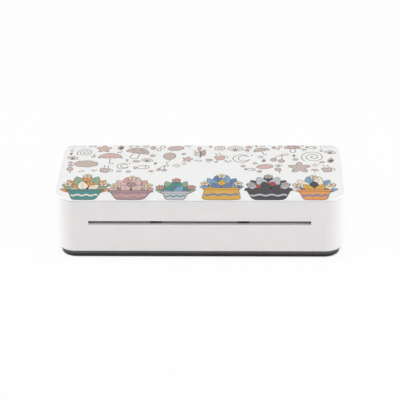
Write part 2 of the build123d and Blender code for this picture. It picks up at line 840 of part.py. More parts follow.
leaf_thick = 0.5
leaf_width = 8.0
with BuildPart() as head_springs:
    for x in (-70, 0, 70):
        with BuildSketch(across(x - leaf_width / 2)):
            with BuildLine():
                FilletPolyline((-44, 27.25), (-31.8, 27.25), (-40.5, 34.5), (-44, 34.5), radius=1.0)
            trace(line_width=leaf_thick)
        extrude(amount=leaf_width)
finish(head_springs, "head_springs")

with BuildPart() as head_ribbon:
    with BuildSketch(across(20)):
        with BuildLine():
            FilletPolyline((-31, 38.3), (-27.5, 38.3), (-27.5, 11.4), (-29.4, 11.4), radius=1.2)
        trace(line_width=0.25)
    extrude(amount=40)
finish(head_ribbon, "head_ribbon")


# ---- paper bin, guides and tear bar
bin_rear_high = 50.5
bin_front_high = 36.0
bin_end_high = 56.0
rear_in = bowl_at[0] + bowl_radius
rear_out = rear_in + bin_wall
front_in = bowl_at[0] - bowl_radius
front_out = front_in - bin_wall
with BuildPart() as paper_bin:
    with BuildSketch(across(-bin_half)):
        with BuildLine():
            Polyline(
                (rear_in, bowl_at[1]), (rear_in, bin_rear_high), (rear_out, bin_rear_high),
                (rear_out, bowl_at[1]),
            )
            CenterArc(bowl_at, bowl_radius + bin_wall, 0, -180)
            Polyline(
                (front_out, bowl_at[1]), (front_out, bin_front_high), (front_in, bin_front_high),
                (front_in, bowl_at[1]),
            )
            CenterArc(bowl_at, bowl_radius, 180, 180)
        make_face()
    extrude(amount=2 * bin_half)
    for low, high in ((-bin_end, -bin_half), (bin_half, bin_end)):
        with BuildSketch(across(low)):
            with Locations(bowl_at):
                Circle(bowl_radius + bin_wall)
            with Locations(((front_out + rear_out) / 2, (bowl_at[1] + bin_rear_high) / 2)):
                Rectangle(rear_out - front_out, bin_rear_high - bowl_at[1])
            with Locations(((front_out + 42.5) / 2, (bowl_at[1] + bin_end_high) / 2)):
                Rectangle(42.5 - front_out, bin_end_high - bowl_at[1])
        extrude(amount=high - low)
    # ribs that stand on the tray, and the two screw tabs
    with BuildSketch(Plane.XY.offset(pillar_high)):
        with Locations((-50, 30), (50, 30)):
            Rectangle(2, 36)
    extrude(amount=9)
    with BuildSketch(Plane.XY.offset(pillar_high)):
        with Locations((-50, 44), (50, 44)):
            RectangleRounded(9, 11, 2)
    extrude(amount=2)
    with BuildSketch(Plane.XY.offset(tray_floor)):
        with Locations((-90, 24), (0, 24), (90, 24)):
            Rectangle(2, 26)
    extrude(amount=8)
    add(rod(bowl_at, bowl_radius, -bin_half, bin_half), mode=Mode.SUBTRACT)
    with BuildSketch(Plane.XY.offset(5)):
        with Locations(*bin_tabs):
            Circle(1.6)
    extrude(amount=4, mode=Mode.SUBTRACT)
    with BuildSketch(Plane.XY.offset(pillar_high + 2)):
        with Locations((-50, 46), (50, 46)):
            Rectangle(7, 8)
    extrude(amount=4, mode=Mode.SUBTRACT)
finish(paper_bin, "paper_bin")

with BuildPart() as bin_screws:
    for point in bin_tabs:
        add(pan_screw(point, pillar_high + 2, 2.6, pillar_high + 3.6, pillar_pilot, 3.4))
finish(bin_screws, "bin_screws")

with BuildPart() as guide_roller:
    add(rod(roller_at, roller_radius, -bin_half + 0.5, bin_half - 0.5))
    add(rod(roller_at, pivot_radius, -frame_in - 1.3, frame_in + 1.3))
finish(guide_roller, "guide_roller")

sensor_low = (17.0, -18.0, 36.2)
sensor_high = (23.0, -14.4, 39.6)
with BuildPart() as paper_guide:
    with BuildSketch(across(-frame_in)):
        with BuildLine():
            Polyline(
                (-20.3, 34.5), (-20.3, 39.2), (-18.5, 39.8), (-13.6, 39.8), (-12.2, 39.0),
                (-12.2, 34.5), (-13.8, 34.5), (-13.8, 38.2), (-18.7, 38.2), (-18.7, 34.5),
                close=True,
            )
        make_face()
    extrude(amount=2 * frame_in)
    add(boxed((13, -18.7, 35.5), (27, -13.8, 38.2)))
    add(boxed(sensor_low, (sensor_high[0], sensor_high[1], 41)), mode=Mode.SUBTRACT)
finish(paper_guide, "paper_guide")

eye_low = 39.2
with BuildPart() as paper_sensor:
    add(boxed(sensor_low, sensor_high))
    for x in (18.0, 20.4):
        add(boxed((x, -17, eye_low), (x + 1.6, -15.4, 39.7)), mode=Mode.SUBTRACT)
finish(paper_sensor, "paper_sensor")

bar_pitch = 2.0
bar_low = 33.4
bar_root = 40.1
bar_tip = 40.8
bar_back = lip_back + 0.8
bar_gaps = (-42.0, 42.0)
gap_low = 37.8
with BuildPart() as tear_bar:
    with BuildSketch(Plane.XZ.offset(-bar_back)):
        with BuildLine():
            count = int(2 * (slot_half - 0.6) / bar_pitch)
            left_end = -count * bar_pitch / 2
            teeth_line = [(left_end, bar_low)]
            for step in range(count):
                teeth_line.append((left_end + step * bar_pitch, bar_root))
                teeth_line.append((left_end + (step + 0.5) * bar_pitch, bar_tip))
            teeth_line += [(-left_end, bar_root), (-left_end, bar_low)]
            Polyline(*teeth_line, close=True)
        make_face()
        with Locations(*[(x, gap_low + 2) for x in bar_gaps]):
            Rectangle(11, 4, mode=Mode.SUBTRACT)
        with Locations(*guide_screws_at):
            Circle(1.1, mode=Mode.SUBTRACT)
    extrude(amount=bar_back - lip_back)
finish(tear_bar, "tear_bar")

guide_back = -51.2
with BuildPart() as exit_guide:
    with BuildSketch(across(-104)):
        with BuildLine():
            Polyline(
                (bar_back, 33.2), (bar_back, 38.5), (-49.5, 39.6), (-47.2, 39.0), (-47.2, 38.0),
                (guide_back, 37.0), (guide_back, 33.2), close=True,
            )
        make_face()
    extrude(amount=208)
    with BuildSketch(Plane.XZ.offset(60)):
        with Locations(*guide_screws_at):
            Circle(1.1)
    extrude(amount=-20, mode=Mode.SUBTRACT)
finish(exit_guide, "exit_guide")

with BuildPart() as guide_screws:
    with BuildSketch(Plane.XZ.offset(-guide_back)):
        with Locations(*guide_screws_at):
            Circle(1.7)
    extrude(amount=-1.2)
    with BuildSketch(Plane.XZ.offset(-guide_back)):
        with Locations(*guide_screws_at):
            Circle(guide_pilot)
    extrude(amount=4.8)
finish(guide_screws, "guide_screws")


# ---- latch: shaft, two hooks, return spring, and the side button that works it
hook_in = 110.0
hook_front = -51.8
with BuildPart() as latch_shaft:
    add(rod(latch, latch_radius, -116, 116))
finish(latch_shaft, "latch_shaft")


def latch_hook(low, with_tail):
    """Hook over the lid's ledge; the right one has the tail that the button pushes."""
    with BuildPart() as hook:
        with BuildSketch(across(low)):
            with Locations(latch):
                Circle(4)
            with BuildLine():
                Polyline(
                    (hook_front, 30), (hook_front, 47.5), (-48.6, 47.5), (-44.7, 44.8),
                    (-44.7, hook_low), (-48.4, hook_low), (-48.4, 30), close=True,
                )
            make_face()
        extrude(amount=hook_thick)
        if with_tail:
            with BuildSketch(Plane.XY.offset(wedge_low - 0.2)):
                with BuildLine():
                    Polyline(
                        (low, -48.2), (low + hook_thick, -48.2), (low + hook_thick, -50.22),
                        (low + 0.92, hook_front), (low, hook_front), close=True,
                    )
                make_face()
            extrude(amount=latch[1] - wedge_low)
        add(rod(latch, latch_radius, low, low + hook_thick), mode=Mode.SUBTRACT)
    return hook


finish(latch_hook(-hook_in - hook_thick, False), "latch_hook_left")
finish(latch_hook(hook_in, True), "latch_hook_right")

spring_start = -109.4
coil_radius = 2.6
coil_pitch = 0.82
coil_turns = 6
wire = 0.42  # half of the wire's thickness
leg_radius = 0.4
with BuildPart() as latch_spring:
    with BuildSketch(Plane(origin=(spring_start, *latch), x_dir=(1, 0, 0), z_dir=(0, -1, 0))):
        with Locations(*[(0.4 + coil_pitch * turn, coil_radius) for turn in range(coil_turns)]):
            RegularPolygon(wire, 6, major_radius=False, rotation=30)
    revolve(axis=Axis((spring_start, *latch), (1, 0, 0)))
    # straight legs: one to the hook, one to the head bracket
    with BuildSketch(Plane.XY.offset(latch[1])):
        with Locations((spring_start + 0.4, latch[0] - coil_radius)):
            Circle(leg_radius)
    extrude(amount=2.6)
    with BuildSketch(Plane.XZ.offset(-latch[0])):
        with Locations((spring_start + 4.5, latch[1] - coil_radius)):
            Circle(leg_radius)
    extrude(amount=-6.5)
finish(latch_spring, "latch_spring")

with BuildPart() as release_button:
    with BuildSketch(across(136.2)):
        with Locations(release_at):
            RectangleRounded(release_hole[0] - 0.5, release_hole[1] - 0.5, 1.2)
    extrude(amount=3.5)
    chamfer(faces().sort_by(Axis.X)[-1].edges(), 0.4)
    with BuildSketch(across(135.2)):
        with Locations(release_at):
            Rectangle(release_hole[0] + 1.5, release_hole[1] + 1.5)
    extrude(amount=1)
    # slider that carries the push to the hook's tail
    with BuildSketch(Plane.XY.offset(wedge_low)):
        with BuildLine():
            Polyline(
                (135.4, -25.5), (118, -25.5), (118, -50), (113, -50), (110.4, -52.6), (110.4, -54),
                (122, -54), (122, -30.5), (135.4, -30.5), close=True,
            )
        make_face()
    extrude(amount=wedge_high - wedge_low)
finish(release_button, "release_button")


# ---- power button, lamp, side board and socket
board_face = board_x + board_thick
switch_face = board_face + 3.3
with BuildPart() as power_button:
    add(rod(power_at, power_hole - 0.25, 136.5, 139.6))
    chamfer(faces().sort_by(Axis.X)[-1].edges(), 0.4)
    add(rod(power_at, 5.6, 135.6, 136.5))
    add(rod(power_at, 1.6, 133.1, 135.6))
finish(power_button, "power_button")

with BuildPart() as light_guide:
    add(rod(lamp_at, lamp_hole - 0.05, 130.4, 139.4))
finish(light_guide, "light_guide")

with BuildPart() as side_board:
    add(boxed((board_x, -8, side_post_high), (board_face, 31, 46)))
finish(side_board, "side_board")

with BuildPart() as tact_switch:
    add(boxed((board_face, -3, 33), (switch_face, 3, 39)))
    add(rod(power_at, 1.7, switch_face, 132.3))
finish(tact_switch, "tact_switch")

with BuildPart() as usb_port:
    with BuildSketch(across(board_face)):
        with Locations(usb_at):
            SlotOverall(9.0, 3.2)
    extrude(amount=9.6)
    with BuildSketch(across(board_face + 2)):
        with Locations(usb_at):
            SlotOverall(8.3, 2.5)
            Rectangle(6.7, 0.7, mode=Mode.SUBTRACT)
    extrude(amount=8, mode=Mode.SUBTRACT)
    # the tongue stops a little short of the mouth
    add(
        boxed((138.0, usb_at[0] - 3.4, usb_at[1] - 0.4), (139, usb_at[0] + 3.4, usb_at[1] + 0.4)),
        mode=Mode.SUBTRACT,
    )
finish(usb_port, "usb_port")


# ---- electronics in the base
board_top = post_high + board_thick
with BuildPart() as main_board:
    with BuildSketch(Plane.XY.offset(post_high)):
        with Locations((50, -15)):
            RectangleRounded(90, 36, 2)
    extrude(amount=board_thick)
finish(main_board, "main_board")

with BuildPart() as board_chips:
    add(boxed((34, -20, board_top), (46, -8, board_top + 1.4)))
    add(boxed((60, -14, board_top), (68, -6, board_top + 1.2)))
    add(boxed((14, -24, board_top), (22, -18, board_top + 1.0)))
    with BuildSketch(Plane.XY.offset(board_top)):
        with Locations((80, -24), (80, -14)):
            Circle(4)
    extrude(amount=7)
    # lamp behind the light guide
    add(boxed((board_face, lamp_at[0] - 1.2, 35), (130.2, lamp_at[0] + 1.2, 37)))
finish(board_chips, "board_chips")

with BuildPart() as board_connectors:
    add(boxed((18, -33, board_top), (62, -29.5, board_top + 3.4)))
    add(boxed((6, -14, board_top), (11, -6, board_top + 4.5)))
    add(boxed((88, -10, board_top), (94, -2, board_top + 4.5)))
    add(boxed((board_face, -2, 22), (board_face + 3.6, 8, 26)))
finish(board_connectors, "board_connectors")

cell_at = (-43.9, 14.2)
cell_radius = 9.2
cell_length = 63.5
terminal_radius = 2.8
with BuildPart() as battery_cells:
    for low in (-66.0, 1.0):
        add(rod(cell_at, cell_radius, low, low + cell_length))
        chamfer(edges().filter_by(GeomType.CIRCLE).filter_by_position(Axis.X, low - 0.1, low + 0.1), 0.6)
        add(rod(cell_at, terminal_radius, low + cell_length, low + cell_length + 1.5))
finish(battery_cells, "battery_cells")

with BuildPart() as battery_cradle:
    add(boxed((-68, -51.5, tray_floor), (68, -37, tray_floor + 0.7)))
    for x in (-58, -10, 10, 58):
        add(boxed((x - 1, -52.5, tray_floor), (x + 1, -35.5, 11.5)))
    for x in (-69, 67.4):
        add(boxed((x, -50, tray_floor), (x + 1.6, -38, 18)))
    add(rod(cell_at, cell_radius + running, -66.4, 66.4), mode=Mode.SUBTRACT)
finish(battery_cradle, "battery_cradle")
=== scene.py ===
import json
import math

import bmesh
import bpy
import numpy as np
from mathutils import Matrix, Vector


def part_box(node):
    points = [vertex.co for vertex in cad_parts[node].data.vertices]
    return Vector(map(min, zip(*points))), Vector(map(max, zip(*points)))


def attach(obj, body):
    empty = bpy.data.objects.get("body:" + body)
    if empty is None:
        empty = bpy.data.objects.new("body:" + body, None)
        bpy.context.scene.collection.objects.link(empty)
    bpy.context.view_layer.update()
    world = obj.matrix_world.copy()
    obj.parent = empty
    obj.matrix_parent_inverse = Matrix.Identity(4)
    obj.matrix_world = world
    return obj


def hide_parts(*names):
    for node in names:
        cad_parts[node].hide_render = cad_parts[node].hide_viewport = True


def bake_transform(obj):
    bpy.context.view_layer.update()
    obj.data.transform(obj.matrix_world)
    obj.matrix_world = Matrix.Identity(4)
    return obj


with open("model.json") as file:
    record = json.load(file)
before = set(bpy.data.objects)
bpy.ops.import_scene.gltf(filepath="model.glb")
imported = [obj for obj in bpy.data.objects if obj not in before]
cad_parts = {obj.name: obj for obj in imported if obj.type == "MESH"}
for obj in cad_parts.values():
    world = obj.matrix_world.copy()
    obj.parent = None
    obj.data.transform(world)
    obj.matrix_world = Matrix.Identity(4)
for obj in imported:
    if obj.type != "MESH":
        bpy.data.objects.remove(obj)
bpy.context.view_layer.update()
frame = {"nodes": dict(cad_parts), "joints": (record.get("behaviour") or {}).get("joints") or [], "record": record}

mm = 0.001
fullTurn = 2 * math.pi
print("frame loaded:", len(frame["nodes"]), "nodes")


def linear(hexColour):
    # sRGB hex to linear rgb: c/12.92 below 0.04045, else ((c + 0.055)/1.055)^2.4
    rgb = np.array([int(hexColour[i:i + 2], 16) for i in (1, 3, 5)]) / 255
    out = np.where(rgb <= 0.04045, rgb / 12.92, ((rgb + 0.055) / 1.055) ** 2.4)
    return (*out.tolist(), 1.0)


def addNode(material, kind, settings=None, links=None):
    # settings: the node's properties, its sockets by name or number, or a ramp's stops as (place, hex) pairs
    # links: {socket: (node, output)}
    node = material.node_tree.nodes.new(kind)
    for key, value in (settings or {}).items():
        if key == "stops":
            for stop, (place, hexColour) in zip(node.color_ramp.elements, value):
                stop.position = place
                stop.color = linear(hexColour)
        elif isinstance(key, str) and hasattr(node, key):
            setattr(node, key, value)
        else:
            node.inputs[key].default_value = value
    for key, (source, output) in (links or {}).items():
        material.node_tree.links.new(source.outputs[output], node.inputs[key])
    return node


def newMaterial(name):
    material = bpy.data.materials.new(name)
    material.use_nodes = True
    material.node_tree.nodes.clear()
    return material


def closeMaterial(material, shader, output="BSDF"):
    addNode(material, "ShaderNodeOutputMaterial", None, {"Surface": (shader, output)})
    return material


def newObject(name, data):
    made = bpy.data.objects.new(name, data)
    bpy.context.scene.collection.objects.link(made)
    return made


# camera, lamps, world and floor, in metres, degrees and watts

cameraView = {"place": (0.0411, -1.2393, 0.7407), "pitch": 29.728, "turn": 1.95, "roll": -0.89,
              "lens": 129.48, "sensor": 36}
lampLook = {"aim": (0, 0, 0.03), "size": 1.8}
lamps = {
    "left_key": {"place": (-1.6, -0.35, 0.6), "power": 21.0},
    "top_fill": {"place": (0.15, 0.25, 1.7), "power": 6.8},
    "right_fill": {"place": (1.6, -0.45, 0.6), "power": 20.0},
}
worldLight = {"colour": "#FFFFFF", "strength": 0.42, "shown": 1.0}
# the white glow stops short of the tray's box by the margins, on a corner radius as large as its plinth's
floorLook = {"colour": "#F4F4F4", "size": 6.0, "glow": 0.93, "margin": (0.0042, 0.0047), "corner": 0.0147,
             "fade": 0.0015}


def makeCamera():
    # tilted down by the pitch, turned about the vertical and rolled about its own line of sight
    data = bpy.data.cameras.new("camera")
    data.lens = cameraView["lens"]
    data.sensor_width = cameraView["sensor"]
    camera = newObject("camera", data)
    camera.matrix_world = (
        Matrix.Translation(cameraView["place"])
        @ Matrix.Rotation(math.radians(cameraView["turn"]), 4, "Z")
        @ Matrix.Rotation(math.radians(90 - cameraView["pitch"]), 4, "X")
        @ Matrix.Rotation(math.radians(cameraView["roll"]), 4, "Z")
    )
    bpy.context.scene.camera = camera


def makeLamps():
    # wide discs, each turned to the middle of the printer
    for name, lamp in lamps.items():
        data = bpy.data.lights.new(name, "AREA")
        data.shape = "DISK"
        data.size = lampLook["size"]
        data.energy = lamp["power"]
        away = Vector(lamp["place"]) - Vector(lampLook["aim"])
        turned = away.to_track_quat("Z", "Y").to_matrix().to_4x4()
        newObject(name, data).matrix_world = Matrix.Translation(lamp["place"]) @ turned


def whiteToEye(material):
    # 1 for rays from the camera, a mirror or a clear piece, 0 for the rays that carry light
    path = addNode(material, "ShaderNodeLightPath")
    glossy = addNode(material, "ShaderNodeMath", {"operation": "MAXIMUM"},
                     {0: (path, "Is Camera Ray"), 1: (path, "Is Glossy Ray")})
    return addNode(material, "ShaderNodeMath", {"operation": "MAXIMUM"},
                   {0: (glossy, "Value"), 1: (path, "Is Transmission Ray")})


def makeWorld():
    # plain white to the eye, and a weaker white that lifts the shaded sides
    world = bpy.data.worlds.new("studio")
    world.use_nodes = True
    world.node_tree.nodes.clear()
    bpy.context.scene.world = world
    seen = whiteToEye(world)
    lit = addNode(world, "ShaderNodeBackground",
                  {"Color": linear(worldLight["colour"]), "Strength": worldLight["strength"]})
    shown = addNode(world, "ShaderNodeBackground", {"Color": (1, 1, 1, 1), "Strength": worldLight["shown"]})
    mix = addNode(world, "ShaderNodeMixShader", None,
                  {0: (seen, "Value"), 1: (lit, "Background"), 2: (shown, "Background")})
    addNode(world, "ShaderNodeOutputWorld", None, {"Surface": (mix, "Shader")})


def paperSweep():
    # matt paper that keeps the printer's shadow; the white glow on it starts outside a rounded rectangle
    # and is full after the fade's width
    made = newMaterial("white_paper_sweep")
    matt = addNode(made, "ShaderNodeBsdfDiffuse", {"Color": linear(floorLook["colour"])})
    glow = addNode(made, "ShaderNodeEmission", {"Color": (1, 1, 1, 1), "Strength": 1.0})
    seen = whiteToEye(made)
    corner, trayEnd = floorLook["corner"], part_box("base_tray")[1]
    straight = [trayEnd[i] - floorLook["margin"][i] - corner for i in (0, 1)]
    place = addNode(made, "ShaderNodeTexCoord")
    size = addNode(made, "ShaderNodeVectorMath", {"operation": "ABSOLUTE"}, {0: (place, "Object")})
    past = addNode(made, "ShaderNodeVectorMath", {"operation": "SUBTRACT", 1: (*straight, 0)},
                   {0: (size, "Vector")})
    outside = addNode(made, "ShaderNodeVectorMath", {"operation": "MAXIMUM", 1: (0, 0, 0)},
                      {0: (past, "Vector")})
    reach = addNode(made, "ShaderNodeVectorMath", {"operation": "LENGTH"}, {0: (outside, "Vector")})
    fade = addNode(made, "ShaderNodeMapRange",
                   {"From Min": corner, "From Max": corner + floorLook["fade"], "To Max": floorLook["glow"]},
                   {"Value": (reach, "Value")})
    share = addNode(made, "ShaderNodeMath", {"operation": "MULTIPLY"},
                    {0: (seen, "Value"), 1: (fade, "Result")})
    mix = addNode(made, "ShaderNodeMixShader", None,
                  {0: (share, "Value"), 1: (matt, "BSDF"), 2: (glow, "Emission")})
    return closeMaterial(made, mix, "Shader")


def makeFloor():
    half = floorLook["size"] / 2
    mesh = bpy.data.meshes.new("floor")
    corners = [(-half, -half, 0), (half, -half, 0), (half, half, 0), (-half, half, 0)]
    mesh.from_pydata(corners, [], [(0, 1, 2, 3)])
    mesh.materials.append(paperSweep())
    newObject("floor", mesh)


bpy.context.scene.view_settings.view_transform = "Standard"
makeCamera()
makeLamps()
makeWorld()
makeFloor()
print("stage ready")

# materials of the printer's own parts: cells and heights in millimetres

def grainBump(material, cellMm, heightMm, strength=1.0):
    # fine moulded or ground texture: noise with cells of the given size
    place = addNode(material, "ShaderNodeTexCoord")
    noise = addNode(material, "ShaderNodeTexNoise",
                    {"Scale": 1 / (cellMm * mm), "Detail": 3.0, "Roughness": 0.55},
                    {"Vector": (place, "Object")})
    return addNode(material, "ShaderNodeBump", {"Distance": heightMm * mm, "Strength": strength},
                   {"Height": (noise, "Fac")})


def mottled(material, hexLow, hexHigh, cellMm):
    # slow change of colour over the surface, between two close tones
    place = addNode(material, "ShaderNodeTexCoord")
    noise = addNode(material, "ShaderNodeTexNoise", {"Scale": 1 / (cellMm * mm), "Detail": 2.0},
                    {"Vector": (place, "Object")})
    return addNode(material, "ShaderNodeValToRGB", {"stops": ((0.3, hexLow), (0.7, hexHigh))},
                   {"Fac": (noise, "Fac")})


def mouldedPlastic(name, hexLow, hexHigh, roughness, cellMm=0.5, heightMm=0.012, gloss=0.5):
    # spark-eroded mould texture on injected plastic: soft highlights, no mirror
    made = newMaterial(name)
    colour = mottled(made, hexLow, hexHigh, 30)
    bump = grainBump(made, cellMm, heightMm)
    shader = addNode(made, "ShaderNodeBsdfPrincipled",
                     {"Roughness": roughness, "IOR": 1.49, "Specular IOR Level": gloss},
                     {"Base Color": (colour, "Color"), "Normal": (bump, "Normal")})
    return closeMaterial(made, shader)


def metal(name, hexLow, hexHigh, roughness, stretch, cellMm, heightMm):
    # metal with a grain drawn out along one direction: brushed, rolled or ground
    made = newMaterial(name)
    place = addNode(made, "ShaderNodeTexCoord")
    turned = addNode(made, "ShaderNodeMapping", {"Scale": stretch}, {"Vector": (place, "Object")})
    noise = addNode(made, "ShaderNodeTexNoise", {"Scale": 1 / (cellMm * mm), "Detail": 4.0},
                    {"Vector": (turned, "Vector")})
    ramp = addNode(made, "ShaderNodeValToRGB", {"stops": ((0, hexLow), (1, hexHigh))},
                   {"Fac": (noise, "Fac")})
    bump = addNode(made, "ShaderNodeBump", {"Distance": heightMm * mm, "Strength": 0.6},
                   {"Height": (noise, "Fac")})
    shader = addNode(made, "ShaderNodeBsdfPrincipled", {"Metallic": 1.0, "Roughness": roughness},
                     {"Base Color": (ramp, "Color"), "Normal": (bump, "Normal")})
    return closeMaterial(made, shader)


finishes = {
    # injected ABS, faintly warm, with a fine even texture and broad highlights
    "white_casing": mouldedPlastic("moulded_white_abs", "#EAE7E7", "#EDEAEA", 0.42),
    # the same ABS from a smoother mould: a shade brighter, with less gloss
    "white_cover": mouldedPlastic("satin_white_abs_cover", "#F1F2F1", "#F3F4F3", 0.52, 0.45, 0.008, 0.3),
    # soft black rubber that hardly shines
    "foot_rubber": mouldedPlastic("black_foot_rubber", "#171616", "#1E1D1D", 0.75, 0.4, 0.02),
    # pale grey ABS of the inner mouldings
    "grey_moulding": mouldedPlastic("moulded_pale_grey_abs", "#C9C9CA", "#CFCFD0", 0.48),
    # glass-filled nylon of the moving and hot parts, nearly black
    "dark_moulding": mouldedPlastic("moulded_black_nylon", "#202022", "#29292B", 0.5),
    # matt black, so that the slot stays dark
    "slot_plastic": mouldedPlastic("moulded_slot_guide", "#131314", "#19191A", 0.6, 0.5, 0.012, 0.2),
    # creamy nylon of plug housings
    "pale_connector": mouldedPlastic("moulded_connector_nylon", "#E2DDCF", "#E8E4D8", 0.4),
    # gears and bushes: a waxy off-white with a very fine grain
    "acetal": mouldedPlastic("cut_acetal", "#EDEAE0", "#F2F0E8", 0.33, 0.3, 0.006),
    # ground rubber, an even dull black
    "platen_rubber": mouldedPlastic("ground_silicone_rubber", "#232324", "#2B2B2C", 0.68, 0.25, 0.02),
    # plated screws: mid grey, bright, with no direction in their grain
    "steel_screws": metal("zinc_plated_screw_steel", "#8F9093", "#A9AAAD", 0.32, (1, 1, 1), 1.5, 0.004),
    # ground bar: bright, with fine streaks along its length
    "steel_pins": metal("ground_shaft_steel", "#B4B5B8", "#C6C7CA", 0.22, (0.05, 1, 1), 0.4, 0.002),
    # folded sheet with the soft cloud of zinc plating
    "zinc_sheet": metal("zinc_plated_sheet_steel", "#9DA1A5", "#B9BDC1", 0.38, (1, 0.3, 0.3), 6.0, 0.004),
    # rolled strip and wire: bright, streaked upwards
    "spring_steel": metal("bright_spring_steel", "#8C8D90", "#A2A3A6", 0.26, (1, 1, 0.1), 1.0, 0.002),
    # tear bar: ground along its length to a dull grey
    "tear_steel": metal("ground_tear_bar_steel", "#77757A", "#8A888C", 0.42, (0.04, 1, 1), 0.5, 0.004),
    # deep-drawn can: soft shine, with marks along its axis
    "motor_steel": metal("drawn_motor_steel", "#9A9B9F", "#AEAFB3", 0.3, (0.05, 1, 1), 0.8, 0.003),
    # stamped shell of the socket: pale and bright, with fine streaks from front to rear
    "steel_shell": metal("stamped_socket_steel", "#B9BABD", "#CACBCE", 0.25, (1, 0.2, 1), 0.8, 0.002),
    # hobbed brass: warm yellow, the one warm metal
    "brass_pinion": metal("cut_brass", "#C29B4E", "#D5B266", 0.28, (1, 1, 0.2), 0.6, 0.003),
    # extruded bar: pale, with die lines along it
    "heatsink": metal("extruded_aluminium", "#B9BBBE", "#CACCCF", 0.34, (0.04, 1, 1), 0.8, 0.004),
}

# below the low height, in mm above the surface, the base keeps only the dark share of its colour: painted contact
# shade at its foot
paintedBaseShade = {"low": 2.0, "high": 4.6, "dark": 0.08}
boardLook = {"cell": 2.4, "row": 0.5, "length": 2.2, "track": 0.06}
# the wave texture turns by 20 radians in a unit, so at this scale the ribbon's stripes lie 1.974 mm apart
ribbonScale = 159.15494


def basePlastic():
    # charcoal band over a plinth, with painted shade that turns it nearly black towards the surface it stands on
    made = newMaterial("moulded_charcoal_abs")
    tone = mottled(made, "#555252", "#5A5757", 30)
    place = addNode(made, "ShaderNodeTexCoord")
    axes = addNode(made, "ShaderNodeSeparateXYZ", None, {"Vector": (place, "Object")})
    rise = addNode(made, "ShaderNodeMapRange",
                   {"From Min": paintedBaseShade["low"] * mm, "From Max": paintedBaseShade["high"] * mm,
                    "To Min": paintedBaseShade["dark"], "To Max": 1.0},
                   {"Value": (axes, "Z")})
    shade = addNode(made, "ShaderNodeVectorMath", {"operation": "SCALE"},
                    {"Vector": (tone, "Color"), "Scale": (rise, "Result")})
    bump = grainBump(made, 0.5, 0.02)
    shader = addNode(made, "ShaderNodeBsdfPrincipled", {"Roughness": 0.6, "Specular IOR Level": 0.3},
                     {"Base Color": (shade, "Vector"), "Normal": (bump, "Normal")})
    return closeMaterial(made, shader)


def circuitBoard():
    # green solder resist, glossy, over copper tracks in rows half a cell apart
    made = newMaterial("green_solder_resist")
    place = addNode(made, "ShaderNodeTexCoord")
    tracks = addNode(made, "ShaderNodeTexBrick", {
        "Scale": 1 / (boardLook["cell"] * mm), "Mortar Size": boardLook["track"],
        "Row Height": boardLook["row"], "Brick Width": boardLook["length"],
        "Color1": linear("#1E5A36"), "Color2": linear("#205F39"), "Mortar": linear("#2F7A4B"),
    }, {"Vector": (place, "Object")})
    shader = addNode(made, "ShaderNodeBsdfPrincipled", {"Roughness": 0.28, "Coat Weight": 0.4},
                     {"Base Color": (tracks, "Color")})
    return closeMaterial(made, shader)


def glossyCoat(name, hexLow, hexHigh, cellMm, roughness, coat):
    # a smooth coloured skin under a clear one, with small clouds in its colour
    made = newMaterial(name)
    colour = mottled(made, hexLow, hexHigh, cellMm)
    shader = addNode(made, "ShaderNodeBsdfPrincipled", {"Roughness": roughness, "Coat Weight": coat},
                     {"Base Color": (colour, "Color")})
    return closeMaterial(made, shader)


def polyimideFilm():
    # amber film over copper lines, which show as stripes along the ribbon
    made = newMaterial("polyimide_ribbon")
    place = addNode(made, "ShaderNodeTexCoord")
    stripes = addNode(made, "ShaderNodeTexWave", {"Scale": ribbonScale, "bands_direction": "X"},
                      {"Vector": (place, "Object")})
    ramp = addNode(made, "ShaderNodeValToRGB", {"stops": ((0, "#B5712A"), (1, "#D79A4C"))},
                   {"Fac": (stripes, "Fac")})
    shader = addNode(made, "ShaderNodeBsdfPrincipled", {"Roughness": 0.3}, {"Base Color": (ramp, "Color")})
    return closeMaterial(made, shader)


def clearGuide():
    # polished polycarbonate that pipes the lamp's light, almost colourless
    made = newMaterial("clear_polycarbonate")
    colour = mottled(made, "#E8F2F2", "#F2F8F8", 2)
    shader = addNode(made, "ShaderNodeBsdfPrincipled",
                     {"Roughness": 0.15, "IOR": 1.58, "Transmission Weight": 0.8},
                     {"Base Color": (colour, "Color")})
    return closeMaterial(made, shader)


finishes["dark_base"] = basePlastic()
finishes["circuit_board"] = circuitBoard()
# brown glass glaze over alumina, nearly a mirror
finishes["ceramic"] = glossyCoat("glazed_alumina", "#4A3A30", "#55443A", 8, 0.12, 0.6)
finishes["ribbon_film"] = polyimideFilm()
# tight shrunk film over the cells, glossy blue
finishes["cell_sleeve"] = glossyCoat("blue_shrink_sleeve", "#1F5C96", "#24639F", 12, 0.25, 0.5)
finishes["clear_guide"] = clearGuide()

for part in frame["record"]["subparts"]:
    frame["nodes"][part["node"]].material_slots[0].material = finishes[part["material_slot"]]

# thin pieces under the print head: the leaf springs under it and the ribbon that feeds it

bendingPieces = {
    "head_springs": {"name": "bending_leaf_springs", "slot": "spring_steel",
                     "held": 0.00675, "free": 0.00095},
    "head_ribbon": {"name": "bending_ribbon", "slot": "ribbon_film",
                    "held": 0.00842, "free": 0.00122},
}
weldReach = 0.000001


def bendWithHead(node, piece):
    # same surface as the node's, with its loose triangles welded
    source = frame["nodes"][node]
    welded = bmesh.new()
    welded.from_mesh(source.data)
    bmesh.ops.remove_doubles(welded, verts=welded.verts, dist=weldReach)
    mesh = bpy.data.meshes.new(piece["name"])
    welded.to_mesh(mesh)
    welded.free()
    mesh.transform(source.matrix_world)
    mesh.materials.clear()
    mesh.materials.append(finishes[piece["slot"]])
    made = newObject(piece["name"], mesh)
    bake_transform(made)
    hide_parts(node)


for node, piece in bendingPieces.items():
    bendWithHead(node, piece)

# the lid's print: ink laid on the cover as thin closed slabs, one mesh for each colour, all in millimetres

